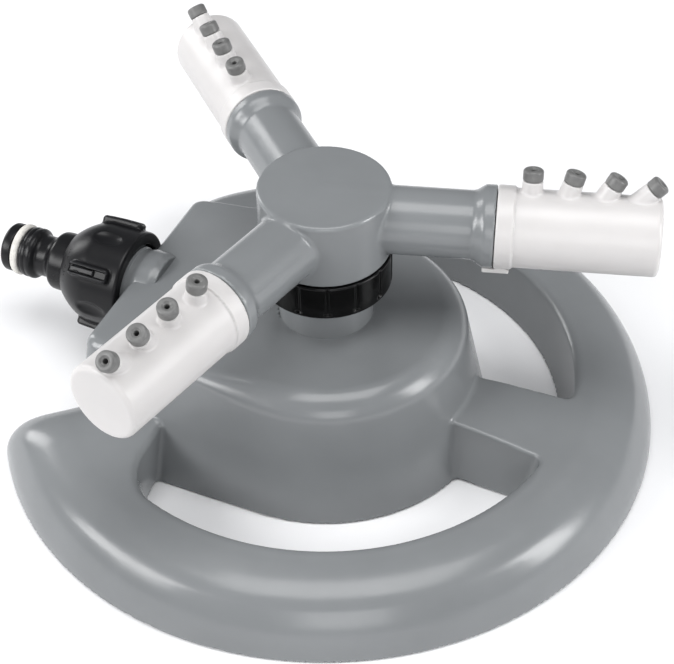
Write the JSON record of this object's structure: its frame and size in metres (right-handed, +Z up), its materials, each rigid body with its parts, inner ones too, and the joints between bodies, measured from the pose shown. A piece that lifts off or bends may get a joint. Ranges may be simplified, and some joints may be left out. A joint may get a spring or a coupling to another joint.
{
  "type": "rotary lawn sprinkler",
  "caption": "Rotary lawn sprinkler: ring base with a central tower, side hose inlet with union nut, and a free-spinning head whose arms carry turnable nozzle sleeves.",
  "frame": {"origin": "on the head's spin axis at ground level, in the flat foot under the feed body", "axes": "+Z up along the spin axis, -X out of the hose inlet, +X along the spoke that joins the tower to the ring"},
  "size_m": [0.219, 0.208, 0.0983],
  "materials": {
    "grey_plastic": "glossy moulded blue-grey plastic",
    "white_plastic": "satin, slightly translucent white plastic",
    "black_plastic": "satin black plastic",
    "nozzle_rubber": "matte grey rubber",
    "white_rubber": "off-white rubber",
    "black_rubber": "black rubber",
    "acetal": "natural acetal",
    "steel": "stainless steel"
  },
  "bodies": {
    "base": {"base_shell": "grey_plastic", "feed_body": "grey_plastic", "feed_screw_1": "steel", "feed_screw_2": "steel", "feed_screw_3": "steel", "retaining_clip": "acetal", "spindle_seal": "black_rubber"},
    "head": {"rotor_hub": "grey_plastic", "head_nut": "black_plastic", "thrust_washer": "acetal", "arm_seal_1": "black_rubber", "arm_seal_2": "black_rubber", "arm_seal_3": "black_rubber"},
    "sleeve_1": {"nozzle_sleeve_1": "white_plastic", "nozzle_tip_1_1": "nozzle_rubber", "nozzle_tip_1_2": "nozzle_rubber", "nozzle_tip_1_3": "nozzle_rubber", "nozzle_tip_1_4": "nozzle_rubber"},
    "sleeve_2": {"nozzle_sleeve_2": "white_plastic", "nozzle_tip_2_1": "nozzle_rubber", "nozzle_tip_2_2": "nozzle_rubber", "nozzle_tip_2_3": "nozzle_rubber", "nozzle_tip_2_4": "nozzle_rubber"},
    "sleeve_3": {"nozzle_sleeve_3": "white_plastic", "nozzle_tip_3_1": "nozzle_rubber", "nozzle_tip_3_2": "nozzle_rubber", "nozzle_tip_3_3": "nozzle_rubber", "nozzle_tip_3_4": "nozzle_rubber"},
    "connector": {"hose_nipple": "black_plastic", "nipple_seal": "white_rubber", "union_washer": "black_rubber", "inlet_filter": "steel"},
    "nut": {"union_nut": "black_plastic"}
  },
  "joints": [
    {"name": "head_spin", "type": "hinge", "parent": "base", "child": "head", "pos_m": [0, 0, 0.0793], "axis": [0, 0, 1], "continuous": true},
    {"name": "sleeve_turn_1", "type": "hinge", "parent": "head", "child": "sleeve_1", "pos_m": [0, 0, 0.0793], "axis": [0.9563, 0.2924, 0], "range_deg": [-30, 60]},
    {"name": "sleeve_turn_2", "type": "hinge", "parent": "head", "child": "sleeve_2", "pos_m": [0, 0, 0.0793], "axis": [-0.7314, 0.682, 0], "range_deg": [-30, 60]},
    {"name": "sleeve_turn_3", "type": "hinge", "parent": "head", "child": "sleeve_3", "pos_m": [0, 0, 0.0793], "axis": [-0.225, -0.9744, 0], "range_deg": [-30, 60]},
    {"name": "connector_slide", "type": "slide", "parent": "base", "child": "connector", "axis": [-1, 0, 0], "range_m": [0, 0.0073]},
    {"name": "nut_turn", "type": "hinge", "parent": "connector", "child": "nut", "pos_m": [-0.08, 0, 0.0297], "axis": [-1, 0, 0], "range_deg": [0, 1440]}
  ],
  "couplings": [
    {"joint": "connector_slide", "follows": "nut_turn", "m_per_rad": 0.00028871}
  ]
}
